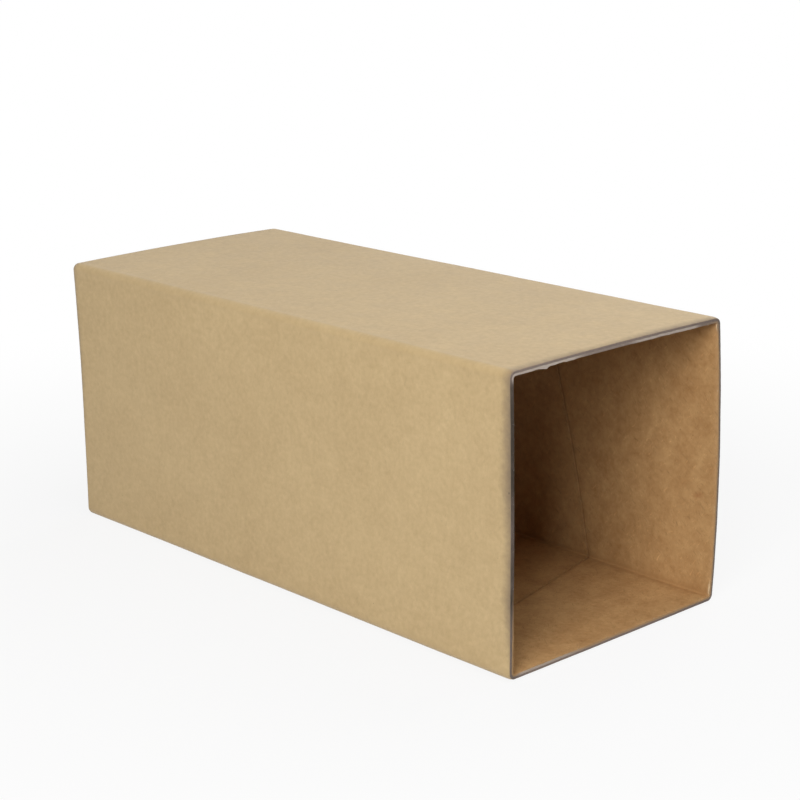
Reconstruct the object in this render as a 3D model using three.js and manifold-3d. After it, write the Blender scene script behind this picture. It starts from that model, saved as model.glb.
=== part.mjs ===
// A square paperboard packaging tube: one spiral-wound, glued wall of kraft-faced grey board, open at both ends.
// Millimetres. The tube lies on its flat side: X runs along it, towards the mouth, and Z is up.
// The origin is on the surface that the tube lies on, under the middle of its outer box.
import * as THREE from "three";
import { mergeVertices } from "three/addons/utils/BufferGeometryUtils.js";
import Module from "manifold-3d";

const wasm = await Module();
wasm.setup();

// Overall size, outside the wall
const LENGTH = 231;
const WIDTH = 100;
const HEIGHT = 100;

// The wound wall and the folds at its four corners
const WALL = 1.8;
const INNER_FOLD_RADIUS = 1.0;
const FOLD_RADIUS = INNER_FOLD_RADIUS + WALL;
const FOLD_STEPS = 6;

// How far each panel springs at its middle: outwards, or inwards where negative. The bottom panel lies flat.
const TOP_CROWN = 0.5;
const BACK_CROWN = 1.9;
const FRONT_CROWN = -0.4;
const CROWN_STEPS = 12;

// The butt joint of the innermost ply, an open line that winds round the inside as a helix
const SEAM_LEAD = 100;
const SEAM_FROM_MOUTH = 68;
const SEAM_GAP = 0.7;
const SEAM_DEPTH = 0.4;
const SEAM_OVERRUN = 0.5;

const KRAFT_COLOUR = 0xc0a67d;

// One panel of the section, as points from fold to fold. The panel's chord runs from `from` to `to`,
// and its middle stands `crown` to the right of that direction, which is outwards.
function panelPoints(from, to, crown) {
  const chord = new THREE.Vector2().subVectors(to, from);
  const outward = new THREE.Vector2(chord.y, -chord.x).normalize();
  const points = [];
  for (let i = 0; i <= CROWN_STEPS; i++) {
    const t = i / CROWN_STEPS;
    const rise = crown * 4 * t * (1 - t);
    points.push(from.clone().addScaledVector(chord, t).addScaledVector(outward, rise));
  }
  return points;
}

// One rounded fold about `centre`, without its two end points, which belong to the panels.
function foldPoints(centre, radius, startAngle) {
  const points = [];
  for (let i = 1; i < FOLD_STEPS; i++) {
    const angle = startAngle + (Math.PI / 2) * (i / FOLD_STEPS);
    points.push(new THREE.Vector2(centre.x + radius * Math.cos(angle), centre.y + radius * Math.sin(angle)));
  }
  return points;
}

// The tube's section, `inset` inside its outer face, counter-clockwise in the YZ plane from the bottom's front fold.
function sectionPoints(inset) {
  const radius = FOLD_RADIUS - inset;
  const halfStraight = WIDTH / 2 - FOLD_RADIUS;
  const low = FOLD_RADIUS;
  const high = HEIGHT - FOLD_RADIUS;
  const front = -WIDTH / 2 + inset;
  const back = WIDTH / 2 - inset;
  const v = (y, z) => new THREE.Vector2(y, z);
  return [
    ...panelPoints(v(-halfStraight, inset), v(halfStraight, inset), 0),
    ...foldPoints(v(halfStraight, low), radius, -Math.PI / 2),
    ...panelPoints(v(back, low), v(back, high), BACK_CROWN),
    ...foldPoints(v(halfStraight, high), radius, 0),
    ...panelPoints(v(halfStraight, HEIGHT - inset), v(-halfStraight, HEIGHT - inset), TOP_CROWN),
    ...foldPoints(v(-halfStraight, high), radius, Math.PI / 2),
    ...panelPoints(v(front, high), v(front, low), FRONT_CROWN),
    ...foldPoints(v(-halfStraight, low), radius, Math.PI),
  ];
}

// A closed geometry as a solid that can be cut.
function toSolid(geometry) {
  const bare = geometry.clone();
  bare.deleteAttribute("normal");
  bare.deleteAttribute("uv");
  const merged = mergeVertices(bare, 1e-5);
  return new wasm.Manifold(
    new wasm.Mesh({
      numProp: 3,
      vertProperties: new Float32Array(merged.attributes.position.array),
      triVerts: new Uint32Array(merged.index.array),
    }),
  );
}

// A solid as a geometry again.
function toGeometry(solid) {
  const mesh = solid.getMesh();
  const geometry = new THREE.BufferGeometry();
  geometry.setAttribute("position", new THREE.BufferAttribute(new Float32Array(mesh.vertProperties), 3));
  geometry.setIndex(new THREE.BufferAttribute(new Uint32Array(mesh.triVerts), 1));
  geometry.computeVertexNormals();
  return geometry;
}

// The bare tube: the section's ring drawn out along X.
function tubeGeometry() {
  const outline = new THREE.Shape(sectionPoints(0));
  outline.holes.push(new THREE.Path(sectionPoints(WALL)));
  const geometry = new THREE.ExtrudeGeometry(outline, { depth: LENGTH, bevelEnabled: false, curveSegments: 1 });
  // The shape's x and y become the tube's Y and Z, and its depth runs along X.
  const axes = new THREE.Matrix4().makeBasis(
    new THREE.Vector3(0, 1, 0),
    new THREE.Vector3(0, 0, 1),
    new THREE.Vector3(1, 0, 0),
  );
  return geometry.applyMatrix4(axes).translate(-LENGTH / 2, 0, 0);
}

// The distance round a closed outline at each of its points, and its whole length last.
function distancesRound(points) {
  const distances = [0];
  points.forEach((point, i) => {
    distances.push(distances[i] + point.distanceTo(points[(i + 1) % points.length]));
  });
  return distances;
}

// The seam's cutter: a rectangular bar that winds along the inner face, half in the hollow and half in the wall.
function seamGeometry() {
  const inner = sectionPoints(WALL);
  const hollow = sectionPoints(WALL + SEAM_DEPTH);
  const groove = sectionPoints(WALL - SEAM_DEPTH);
  const distances = distancesRound(inner);
  const perimeter = distances[inner.length];

  // The middle of the back panel is where SEAM_FROM_MOUTH is measured.
  const backMiddle = CROWN_STEPS + 1 + (FOLD_STEPS - 1) + CROWN_STEPS / 2;
  const xAt = (turn, i) =>
    LENGTH / 2 - SEAM_FROM_MOUTH - SEAM_LEAD * (turn + (distances[i] - distances[backMiddle]) / perimeter);

  const positions = [];
  const firstTurn = -Math.ceil(SEAM_FROM_MOUTH / SEAM_LEAD) - 1;
  const lastTurn = Math.ceil((LENGTH - SEAM_FROM_MOUTH) / SEAM_LEAD) + 1;
  for (let turn = firstTurn; turn <= lastTurn; turn++) {
    for (let i = 0; i < inner.length; i++) {
      const x = xAt(turn, i);
      if (Math.abs(x) > LENGTH / 2 + SEAM_LEAD * SEAM_OVERRUN) continue;
      for (const [side, ring] of [[-1, hollow], [1, hollow], [1, groove], [-1, groove]]) {
        positions.push(x + (side * SEAM_GAP) / 2, ring[i].x, ring[i].y);
      }
    }
  }

  const index = [];
  const quad = (a, b, c, d) => index.push(a, b, c, a, c, d);
  const stations = positions.length / 12;
  for (let s = 0; s + 1 < stations; s++) {
    for (let k = 0; k < 4; k++) {
      const next = (k + 1) % 4;
      quad(4 * s + k, 4 * s + next, 4 * s + 4 + next, 4 * s + 4 + k);
    }
  }
  const last = 4 * (stations - 1);
  quad(3, 2, 1, 0);
  quad(last, last + 1, last + 2, last + 3);

  const geometry = new THREE.BufferGeometry();
  geometry.setAttribute("position", new THREE.Float32BufferAttribute(positions, 3));
  geometry.setIndex(index);
  return geometry;
}

const kraftBoard = new THREE.MeshStandardMaterial({
  name: "kraft_board",
  color: KRAFT_COLOUR,
  roughness: 0.9,
  metalness: 0,
});

function makeTube() {
  const wall = toSolid(tubeGeometry()).subtract(toSolid(seamGeometry()));
  const tube = new THREE.Mesh(toGeometry(wall), kraftBoard);
  tube.name = "square_tube";
  return tube;
}

const packagingTube = new THREE.Group();
packagingTube.add(makeTube());

export default packagingTube;
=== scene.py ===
"""A square paper packaging tube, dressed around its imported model.

The tube is one wall of board, wound as a helix and glued: brown kraft paper outside and inside, grey board
between them. Its mesh is drawn flat, as the sheet lies before it is formed, scored along the butt joint of
the innermost ply, and then folded round the section. Metres throughout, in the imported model's frame: X runs
to the mouth, and Z is up.
"""
import logging
import math
import random
from dataclasses import dataclass
from enum import Enum

import bmesh
import bpy
import numpy as np
from mathutils import Matrix, Vector, noise

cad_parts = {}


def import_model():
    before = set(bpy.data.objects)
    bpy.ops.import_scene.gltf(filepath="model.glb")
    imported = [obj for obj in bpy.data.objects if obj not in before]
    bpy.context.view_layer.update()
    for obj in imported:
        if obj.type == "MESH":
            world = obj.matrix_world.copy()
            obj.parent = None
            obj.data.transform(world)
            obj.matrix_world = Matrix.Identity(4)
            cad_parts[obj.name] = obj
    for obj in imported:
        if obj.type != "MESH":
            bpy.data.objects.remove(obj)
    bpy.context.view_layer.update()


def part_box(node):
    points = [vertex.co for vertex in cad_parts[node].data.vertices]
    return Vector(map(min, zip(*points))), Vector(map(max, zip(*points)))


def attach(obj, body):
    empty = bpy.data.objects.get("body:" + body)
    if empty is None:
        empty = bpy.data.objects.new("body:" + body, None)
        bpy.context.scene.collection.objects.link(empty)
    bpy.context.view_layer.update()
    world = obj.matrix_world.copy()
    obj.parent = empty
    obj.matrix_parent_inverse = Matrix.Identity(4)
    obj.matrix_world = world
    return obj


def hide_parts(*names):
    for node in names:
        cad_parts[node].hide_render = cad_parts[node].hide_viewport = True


MM = 0.001
TUBE_NODE = "square_tube"
BODY = "root"

# The plies that show as bands on a cut end
CUT_PLIES = 5

# How far a seed of 1 shifts the noise along each axis
SEED_SHIFT = (1.0, 2.3, -1.7)

# What each use of noise on a cut end adds to the end's seed, for a pattern of its own
SWAY_SEED = 3
BURR_SEED = 7
FRAY_SEED = 11

log = logging.getLogger("packaging_tube")

Colour = tuple[float, float, float, float]


def tone(red: int, green: int, blue: int) -> Colour:
    """Turns a colour in 8-bit screen values into the linear RGBA that a shader takes.

    Args:
        red: the red channel, from 0 to 255.
        green: the green channel.
        blue: the blue channel.

    Returns:
        The linear colour, with an alpha of 1.
    """
    channels = []
    for value in (red, green, blue):
        share = value / 255
        channels.append(share / 12.92 if share <= 0.04045 else ((share + 0.055) / 1.055) ** 2.4)
    return (*channels, 1.0)


def fade(values: np.ndarray, reach: float) -> np.ndarray:
    """Returns 1 where a distance is 0, falling smoothly to 0 at reach."""
    return np.clip(1 - values / reach, 0, 1) ** 2


def noise_at(points: np.ndarray, size: float, seed: float) -> np.ndarray:
    """Evaluates smooth noise of one feature size.

    Args:
        points: the places, as rows of x, y and z.
        size: the size of one swell of the noise.
        seed: a shift that gives each use its own pattern.

    Returns:
        One value for each place, from about -1 to 1.
    """
    shift = Vector([seed * step for step in SEED_SHIFT])
    return np.array([noise.noise(Vector(p) / size + shift) for p in points.tolist()])


class Face(Enum):
    """Which part of the wall a mesh face belongs to. The value is its material's place on the mesh."""

    OUTER = 0
    CUT = 1
    INNER = 2


class Panel(Enum):
    """The tube's four panels, in the order in which the distance round passes them."""

    BOTTOM = 0
    BACK = 1
    TOP = 2
    FRONT = 3


@dataclass
class TubeSection:
    """The tube's section: four panels joined by four rounded folds, measured round the inner face.

    The distance round starts at the bottom panel's front fold, and then runs up the back, along the top and
    down the front. The crowns are how far the panels spring at their middles, in the same order.
    """

    width: float = 100 * MM
    height: float = 100 * MM
    wall: float = 1.8 * MM
    inner_fold_radius: float = 1.0 * MM
    crowns: tuple[float, float, float, float] = (0.0, 1.9 * MM, 0.5 * MM, -0.4 * MM)

    @property
    def fold_radius(self) -> float:
        """The folds' radius on the outer face."""
        return self.inner_fold_radius + self.wall

    @property
    def fold_length(self) -> float:
        """The distance round one fold, on the inner face."""
        return math.pi / 2 * self.inner_fold_radius

    @property
    def flats(self) -> list[float]:
        """The four panels' flat lengths.

        Returns:
            Each panel's length from fold to fold, in the panels' order.
        """
        across = self.width - 2 * self.fold_radius
        upright = self.height - 2 * self.fold_radius
        return [across, upright, across, upright]

    @property
    def starts(self) -> list[float]:
        """The distances round at which the four panels start, and the whole distance round."""
        lengths = [flat + self.fold_length for flat in self.flats]
        return [sum(lengths[:k]) for k in range(5)]

    @property
    def perimeter(self) -> float:
        """The whole distance round the inner face."""
        return self.starts[4]

    def spot(self, panel: Panel, share: float = 0.5) -> float:
        """Returns the distance round of the spot that lies a share of the way along a panel."""
        return self.starts[panel.value] + self.flats[panel.value] * share

    def side_at(self, around: np.ndarray) -> tuple[np.ndarray, np.ndarray]:
        """Finds the panel at each distance round.

        Args:
            around: distances round the inner face.

        Returns:
            The panels' numbers, and the distances from those panels' starts.
        """
        starts = np.array(self.starts)
        side = np.clip(np.searchsorted(starts, around, side="right") - 1, 0, 3)
        return side, around - starts[side]

    def panel_place(self, around: np.ndarray) -> np.ndarray:
        """Returns each place as its panel's number plus its share of that panel: 2.5 is the top's middle."""
        side, along = self.side_at(around)
        return side + np.clip(along / np.array(self.flats)[side], 0, 1)

    def place(self, around: np.ndarray, depth: np.ndarray) -> tuple[np.ndarray, np.ndarray]:
        """Places points of the wall on the section.

        Args:
            around: distances round the inner face.
            depth: depths under the outer face.

        Returns:
            The points, and the section's outward directions there, as rows of y and z.
        """
        half = self.width / 2 - self.fold_radius
        low = self.fold_radius
        high = self.height - self.fold_radius
        corners = np.array([(half, low), (half, high), (-half, high), (-half, low)])
        flats = np.array(self.flats)
        side, along = self.side_at(around)
        on_fold = along > flats[side]

        turned = side * math.pi / 2
        bend = np.where(on_fold, (along - flats[side]) / self.inner_fold_radius, 0.0)
        heading = turned - math.pi / 2 + bend
        outward = np.column_stack([np.cos(heading), np.sin(heading)])
        forward = np.column_stack([np.cos(turned), np.sin(turned)])

        share = np.clip(along / flats[side], 0, 1)
        rise = np.where(on_fold, 0.0, np.array(self.crowns)[side] * 4 * share * (1 - share))
        base = np.where(on_fold[:, None], corners[side], corners[side - 1] + forward * along[:, None])
        return base + outward * (self.fold_radius + rise - depth)[:, None], outward

    def fold_distance(self, around: np.ndarray) -> np.ndarray:
        """Measures how far places are from the nearest fold.

        Args:
            around: distances round the inner face.

        Returns:
            The distance from each place to the middle of the nearest fold.
        """
        middles = np.array([self.starts[k + 1] - self.fold_length / 2 for k in range(4)])
        gaps = np.abs(around[:, None] - middles)
        return np.minimum(gaps, self.perimeter - gaps).min(axis=1)


@dataclass
class ButtJoint:
    """The innermost ply's butt joint, an open line that winds round the inside of the tube.

    It crosses the middle of the back panel at from_mouth.
    """

    lead: float = 100 * MM
    from_mouth: float = 68 * MM
    gap: float = 0.7 * MM
    depth: float = 0.4 * MM
    shoulder: float = 0.12 * MM

    def lines(self) -> list[float]:
        """Lists the groove's edges.

        Returns:
            Its four edges, as distances from its middle.
        """
        foot = self.gap / 2 - self.shoulder
        rim = self.gap / 2 + self.shoulder
        return [-rim, -foot, foot, rim]

    def turns(self, section: TubeSection, mouth: float, x: np.ndarray, around: np.ndarray) -> np.ndarray:
        """Works out where each place of the flat sheet lies between two passes of the joint.

        Args:
            section: the tube's section.
            mouth: the place of the mouth along X.
            x: the places along X.
            around: the places' distances round.

        Returns:
            The turns that each place lies past the joint. Whole numbers are on the joint.
        """
        round_back = (around - section.spot(Panel.BACK)) / section.perimeter
        return (x - mouth + self.from_mouth) / self.lead + round_back

    def slant(self, section: TubeSection) -> float:
        """Returns a turn's width square to the joint."""
        return self.lead * section.perimeter / math.hypot(self.lead, section.perimeter)

    def sunk(self, distance: np.ndarray) -> np.ndarray:
        """Returns how deep the inner face lies at each distance from the joint's middle."""
        foot = self.gap / 2 - self.shoulder
        return np.clip(1 - (distance - foot) / (2 * self.shoulder), 0, 1) * self.depth


@dataclass(frozen=True)
class Mark:
    """A small mark on the inner face: where it lies on the flat sheet, its reach, and how far it rises."""

    panel: Panel
    share: float
    from_mouth: float
    reach_round: float
    reach_along: float
    rise: float = 0.0

    def nearness(self, section: TubeSection, mouth: float, around: np.ndarray, x: np.ndarray) -> np.ndarray:
        """Works out how much each place of the flat sheet belongs to the mark.

        Args:
            section: the tube's section.
            mouth: the place of the mouth along X.
            around: the places' distances round.
            x: the places along X.

        Returns:
            1 at the mark's middle, falling smoothly to 0 at its outline.
        """
        gap = (around - section.spot(self.panel, self.share)) / self.reach_round
        away = (mouth - self.from_mouth - x) / self.reach_along
        return fade(np.hypot(gap, away), 1.0)


# Where the innermost ply lifts a little at the mouth's back folds, and a brown blot beside them
LIFTED_PLY = (
    Mark(
        Panel.BACK,
        share=0.995,
        from_mouth=0.2 * MM,
        reach_round=3.6 * MM,
        reach_along=1.5 * MM,
        rise=0.40 * MM,
    ),
    Mark(
        Panel.BACK,
        share=0.020,
        from_mouth=0.4 * MM,
        reach_round=6.5 * MM,
        reach_along=1.5 * MM,
        rise=0.36 * MM,
    ),
)
BLOTS = (
    Mark(Panel.BACK, share=0.355, from_mouth=8.0 * MM, reach_round=3.6 * MM, reach_along=4.6 * MM),
)


@dataclass(frozen=True)
class RimProfile:
    """A strength that changes along the rim of a cut end.

    Each knot is a place and a strength. A place is a panel's number plus the share of that panel, counted
    the way round, and the strength runs straight from knot to knot. The last knot meets the first one, so
    both have the same strength.
    """

    knots: tuple[tuple[float, float], ...]

    def at(self, places: np.ndarray) -> np.ndarray:
        """Returns the strength at each place."""
        spots, strengths = zip(*self.knots)
        return np.interp(places, spots, strengths)


@dataclass
class CutEnd:
    """How one end of the tube was cut: a rolled outer rim, a rough face of plies and a torn rim inside.

    The profiles say where the blade smeared the cut dark, where it tore the lining into pale fibre, where the
    brown lining still covers the cut, how strongly the paper beside it is marked, outside with dirt and with
    painted shade of the rolled rim, and how far the torn rim stands into the opening, in millimetres. The
    side is 1 at the mouth and -1 at the far end. The recesses, the sway, the grain and the lean push the cut
    inwards, the last one towards the bottom.
    """

    side: int
    seed: float
    smeared: RimProfile
    torn: RimProfile
    lined: RimProfile
    soiled_and_shaded: RimProfile
    burr: RimProfile
    recess: float = 0.10 * MM
    rim_recess: float = 0.12 * MM
    ply_recess: float = 0.05 * MM
    sway: float = 0.07 * MM
    sway_size: float = 14 * MM
    grain: float = 0.05 * MM
    grain_size: float = 1.1 * MM
    grain_mean: float = 0.6
    burr_size: float = 3.5 * MM
    burr_mean: float = 0.85
    burr_broad: float = 0.5
    burr_fine: float = 0.9
    burr_limits: tuple[float, float] = (0.1, 1.6)
    lean: float = 0.0
    lean_share: float = 0.4

    def pushed_in(self, section: TubeSection, places: np.ndarray, depth: np.ndarray) -> np.ndarray:
        """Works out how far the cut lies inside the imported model's end.

        Args:
            section: the tube's section.
            places: points of the cut, as rows of x, y and z.
            depth: their depths under the outer face.

        Returns:
            One distance for each point.
        """
        share = depth / section.wall
        ply = np.cos(2 * math.pi * share * CUT_PLIES) * 0.5 + 0.5
        rough = self.grain * (self.grain_mean + noise_at(places, self.grain_size, self.seed))
        sway = self.sway * (1 + noise_at(places, self.sway_size, self.seed + SWAY_SEED))
        leaning = self.lean * np.clip((1 - places[:, 2] / section.height) / self.lean_share, 0, 1)
        even = self.recess + self.rim_recess * (1 - share) ** 2 + self.ply_recess * ply
        return even + rough + sway + leaning

    def burr_height(self, section: TubeSection, places: np.ndarray, around: np.ndarray) -> np.ndarray:
        """Works out how far the torn inner rim stands into the opening.

        Args:
            section: the tube's section.
            places: points of the rim, as rows of x, y and z.
            around: their distances round.

        Returns:
            One height for each point.
        """
        broad = noise_at(places, self.burr_size, self.seed + BURR_SEED)
        fine = noise_at(places, self.grain_size, self.seed + FRAY_SEED)
        uneven = self.burr_mean + self.burr_broad * broad + self.burr_fine * fine
        return self.burr.at(section.panel_place(around)) * MM * np.clip(uneven, *self.burr_limits)


MOUTH_CUT = CutEnd(
    side=1,
    seed=0.7,
    smeared=RimProfile(
        (
            (0.0, 0.30), (0.03, 0.0), (0.60, 0.0), (0.98, 0.25), (1.05, 0.20), (1.80, 0.25), (1.98, 0.38),
            (2.04, 0.32), (2.14, 0.16), (2.60, 0.10), (2.97, 0.04), (3.0, 0.15), (3.02, 0.80), (3.08, 0.90),
            (3.20, 0.98), (3.36, 1.00), (3.41, 0.72), (3.54, 0.56), (3.62, 0.80), (3.69, 0.76), (3.75, 0.98),
            (3.81, 0.60), (3.88, 0.40), (4.0, 0.30),
        )
    ),
    torn=RimProfile(
        (
            (0.0, 0.0), (0.03, 1.0), (0.26, 0.9), (0.34, 0.3), (2.08, 0.1), (2.12, 0.9), (2.40, 0.85),
            (2.46, 0.2), (2.67, 0.2), (2.73, 1.0), (2.97, 1.0), (3.0, 0.9), (3.02, 0.0), (4.0, 0.0),
        )
    ),
    lined=RimProfile(
        (
            (0.0, 0.8), (0.03, 0.2), (0.26, 0.25), (0.36, 0.8), (1.95, 0.9), (2.03, 0.2), (2.07, 0.0),
            (3.70, 0.0), (3.80, 0.4), (3.90, 0.9), (4.0, 0.8),
        )
    ),
    soiled_and_shaded=RimProfile(
        (
            (0.0, 0.36), (1.95, 0.45), (2.03, 0.60), (2.30, 0.66), (2.55, 0.50), (2.62, 0.50), (2.70, 0.62),
            (2.97, 0.62), (3.01, 0.68), (3.20, 0.74), (3.34, 0.81), (3.41, 0.72), (3.54, 0.60), (3.68, 0.66),
            (3.75, 0.73), (3.82, 0.64), (3.88, 0.52), (3.97, 0.40), (4.0, 0.36),
        )
    ),
    burr=RimProfile(
        (
            (0.0, 0.04), (0.02, 0.08), (0.26, 0.14), (0.30, 0.06), (2.08, 0.05), (2.13, 0.20), (2.40, 0.18),
            (2.46, 0.08), (2.67, 0.08), (2.73, 0.18), (2.845, 0.18), (2.858, 0.72), (2.876, 0.62),
            (2.888, 0.10), (2.98, 0.06), (3.02, 0.04), (4.0, 0.04),
        )
    ),
)
REAR_CUT = CutEnd(
    side=-1,
    seed=9.4,
    smeared=RimProfile(((0.0, 0.5), (0.9, 0.4), (1.5, 0.7), (2.1, 0.3), (2.9, 0.2), (3.3, 0.6), (4.0, 0.5))),
    torn=RimProfile(
        ((0.0, 0.5), (0.5, 0.9), (0.8, 0.2), (1.6, 0.7), (2.3, 0.2), (2.6, 0.9), (3.1, 0.2), (4.0, 0.5))
    ),
    lined=RimProfile(((0.0, 0.5), (0.6, 0.1), (1.2, 0.8), (1.9, 0.2), (3.0, 0.1), (3.6, 0.8), (4.0, 0.5))),
    soiled_and_shaded=RimProfile(
        ((0.0, 0.40), (1.0, 0.60), (1.6, 0.45), (2.1, 0.62), (2.9, 0.50), (3.4, 0.66), (4.0, 0.40))
    ),
    burr=RimProfile(
        ((0.0, 0.06), (0.5, 0.16), (1.0, 0.05), (1.6, 0.14), (2.2, 0.05), (2.6, 0.18), (4.0, 0.06))
    ),
    lean=0.9 * MM,
)


@dataclass
class WoundWall:
    """The tube's wall: a flat slab of board, folded round the section and closed along its own edge.

    It holds the mesh's spacing, and how far the shapes and the wear at the ends, folds and joint reach.
    At the outer rims and in the inner folds that darkening is partly painted shade.
    """

    section: TubeSection
    joint: ButtJoint
    mouth: CutEnd
    rear: CutEnd
    low_x: float
    high_x: float
    column: float = 0.85 * MM
    fold_steps: int = 8
    row: float = 5.0 * MM
    end_rows: tuple[float, ...] = tuple(step * MM for step in (0.25, 0.6, 1.1, 1.8, 2.6, 3.6, 5.0, 7.0))
    end_reach: float = 3.5 * MM
    roll_reach: float = 2.4 * MM
    roll_depth: float = 0.30 * MM
    burr_reach: float = 0.7 * MM
    lip_from: float = 2 / 3
    soil_and_shade_fall: float = 8.2 * MM
    fold_wear_and_shade_reach: float = 5.0 * MM
    joint_reach: float = 1.6 * MM
    sway: float = 0.13 * MM
    sway_size: float = 46 * MM
    sway_seed: float = 1.0
    ripple: float = 0.05 * MM
    ripple_size: float = 13 * MM
    ripple_seed: float = 5.0
    weld: float = 0.002 * MM
    sharp_angle: float = math.radians(38)

    def columns(self) -> np.ndarray:
        """Spaces the slab's columns of points, closely on the folds.

        Returns:
            Their distances round.
        """
        marks = [0.0]
        for start, flat in zip(self.section.starts, self.section.flats):
            count = round(flat / self.column)
            marks += [start + flat * (i + 1) / count for i in range(count)]
            step = self.section.fold_length / self.fold_steps
            marks += [start + flat + step * (i + 1) for i in range(self.fold_steps)]
        return np.array(marks)

    def rows(self) -> np.ndarray:
        """Spaces the slab's rows of points, closely near both ends.

        Returns:
            Their places along X.
        """
        near = self.end_rows[-1]
        middle = self.high_x - self.low_x - 2 * near
        count = round(middle / self.row)
        inner = [self.low_x + near + middle * i / count for i in range(1, count)]
        start = [self.low_x] + [self.low_x + step for step in self.end_rows]
        end = [self.high_x - step for step in reversed(self.end_rows)] + [self.high_x]
        return np.array(start + inner + end)

    def slab(self) -> bmesh.types.BMesh:
        """Builds the flat slab.

        Returns:
            Its mesh. A point's place is its distance round, its X and its depth under the outer face.
        """
        around = self.columns()
        along = self.rows()
        depths = np.linspace(0, self.section.wall, 2 * CUT_PLIES + 1)
        per_row = len(around)
        points: list[tuple[float, float, float]] = []
        faces: list[tuple[int, ...]] = []
        kinds: list[int] = []

        def sheet(depth: float) -> int:
            """Adds the points of one face at a depth, and returns the first one's number."""
            first = len(points)
            points.extend((a, x, depth) for x in along for a in around)
            return first

        outer = sheet(0.0)
        inner = sheet(self.section.wall)
        for j in range(len(along) - 1):
            for i in range(per_row - 1):
                a = j * per_row + i
                b = a + per_row
                faces.append((outer + a, outer + a + 1, outer + b + 1, outer + b))
                faces.append((inner + a, inner + b, inner + b + 1, inner + a + 1))
                kinds += [Face.OUTER.value, Face.INNER.value]

        for row, x, outward in ((0, along[0], False), (len(along) - 1, along[-1], True)):
            rings = [outer + row * per_row]
            for depth in depths[1:-1]:
                rings.append(len(points))
                points.extend((a, x, depth) for a in around)
            rings.append(inner + row * per_row)
            for near, far in zip(rings[:-1], rings[1:]):
                for i in range(per_row - 1):
                    quad = (near + i, near + i + 1, far + i + 1, far + i)
                    faces.append(quad if outward else quad[::-1])
                    kinds.append(Face.CUT.value)

        mesh = bpy.data.meshes.new("slab")
        mesh.from_pydata(points, [], faces)
        mesh.polygons.foreach_set("material_index", kinds)
        slab = bmesh.new()
        slab.from_mesh(mesh)
        bpy.data.meshes.remove(mesh)
        return slab

    def score_joint(self, slab: bmesh.types.BMesh) -> None:
        """Cuts the inner face along the joint's edges, so that the groove has points of its own.

        Args:
            slab: the flat slab's mesh.
        """
        middle = self.section.spot(Panel.BACK)
        normal = Vector((self.joint.lead, self.section.perimeter, 0)).normalized()
        reach = self.high_x - self.low_x + self.joint.lead
        for turn in range(-2, math.ceil(reach / self.joint.lead) + 1):
            on_line = Vector((middle, self.high_x - self.joint.from_mouth - turn * self.joint.lead, 0))
            for offset in self.joint.lines():
                cut = [f for f in slab.faces if f.material_index == Face.INNER.value]
                edges = {e for f in cut for e in f.edges}
                verts = {v for f in cut for v in f.verts}
                bmesh.ops.bisect_plane(
                    slab,
                    geom=[*verts, *edges, *cut],
                    dist=2 * self.weld,
                    plane_co=on_line + normal * offset,
                    plane_no=normal,
                )

    def map_winding(self, slab: bmesh.types.BMesh) -> None:
        """Gives every face its place on the wound strip, in metres along the strip and across it.

        Args:
            slab: the flat slab's mesh.
        """
        perimeter = self.section.perimeter
        lead = self.joint.lead
        slope = math.hypot(perimeter, lead)
        uv = slab.loops.layers.uv.new("winding")
        faces = list(slab.faces)
        centres = np.array([f.calc_center_median() for f in faces])
        turns = self.joint.turns(self.section, self.high_x, centres[:, 1], centres[:, 0])
        for face, turn in zip(faces, np.floor(turns).tolist()):
            on_cut = face.material_index == Face.CUT.value
            for loop in face.loops:
                around = loop.vert.co.x - turn * perimeter
                x = loop.vert.co.y
                across = loop.vert.co.z if on_cut else (around * lead + x * perimeter) / slope
                loop[uv].uv = ((around * perimeter - x * lead) / slope, across)

    def marked(self, marks: tuple[Mark, ...], around: np.ndarray, x: np.ndarray) -> np.ndarray:
        """Returns how much each place of the flat sheet belongs to any of the marks."""
        return sum(mark.nearness(self.section, self.high_x, around, x) for mark in marks)

    def shape_end(
        self,
        end: CutEnd,
        flat: np.ndarray,
        moved_x: np.ndarray,
        inward: np.ndarray,
        strengths: dict[str, np.ndarray],
    ) -> None:
        """Shapes one cut end: its rough face, its rolled outer rim and its torn inner rim.

        Args:
            end: how the end was cut.
            flat: the distances round, the places along X and the depths of the slab's points.
            moved_x: the points' final places along X, which it changes.
            inward: how far the points move inwards from their places on the section, which it changes.
            strengths: the strengths that the materials read at each point, which it changes.
        """
        around, x, depth = flat
        edge = self.high_x if end.side > 0 else self.low_x
        to_end = np.abs(edge - x)
        panel_place = self.section.panel_place(around)
        # Darker paper beside the cut outside: dirt, and painted shade of the rolled rim.
        soil_and_shade = end.soiled_and_shaded.at(panel_place) - to_end / self.soil_and_shade_fall
        strengths["rim_nearness"] = np.maximum(strengths["rim_nearness"], soil_and_shade)

        near = to_end < self.end_reach
        close = to_end[near]
        share = depth[near] / self.section.wall
        hollow = self.section.place(around[near], depth[near])[0]
        spots = np.column_stack([np.full(len(hollow), edge), hollow])
        pushed = end.pushed_in(self.section, spots, depth[near]) * fade(close, self.end_reach)
        moved_x[near] -= end.side * pushed
        inward[near] += self.roll_depth * (1 - share) ** 2 * fade(close, self.roll_reach)
        lip = end.burr_height(self.section, spots, around[near]) * fade(close, self.burr_reach)
        inward[near] += lip * np.clip((share - self.lip_from) / (1 - self.lip_from), 0, 1)
        for name, profile in (("smeared", end.smeared), ("torn", end.torn), ("lined", end.lined)):
            strengths[name][near] = profile.at(panel_place[near])

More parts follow.
